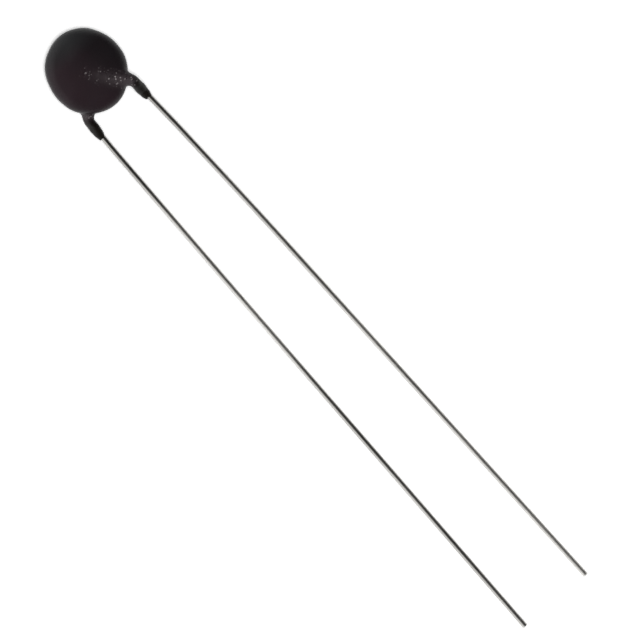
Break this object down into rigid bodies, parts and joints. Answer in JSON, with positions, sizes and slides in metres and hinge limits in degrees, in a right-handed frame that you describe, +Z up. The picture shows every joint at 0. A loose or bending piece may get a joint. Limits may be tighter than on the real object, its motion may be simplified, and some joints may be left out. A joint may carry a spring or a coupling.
{
  "type": "ntc thermistor",
  "caption": "Disc thermistor with a dark dipped resin coating over a soldered ceramic disc and long straight tinned wire leads.",
  "frame": {"origin": "middle of the part's outline, on the surface that it lies on", "axes": "+X along the leads from the disc to their cut ends, +Y across them towards the front lead, +Z up from the surface to the front face"},
  "size_m": [0.0688, 0.0078, 0.0035],
  "materials": {
    "dipped_resin": "dipped and cured resin, dark brown-black, satin, with small pits and lumps",
    "oxide_ceramic": "pressed and sintered metal-oxide ceramic, dark grey, fine grained",
    "fired_silver": "screen-printed and fired silver, matt and pale",
    "solder": "dipped tin solder, smooth and dull bright",
    "tinned_wire": "hot-tinned drawn wire, bright with fine draw lines"
  },
  "bodies": {
    "root": {"coating": "dipped_resin", "ceramic_disc": "oxide_ceramic", "front_electrode": "fired_silver", "back_electrode": "fired_silver", "front_solder": "solder", "back_solder": "solder", "front_lead": "tinned_wire", "back_lead": "tinned_wire"}
  },
  "joints": []
}
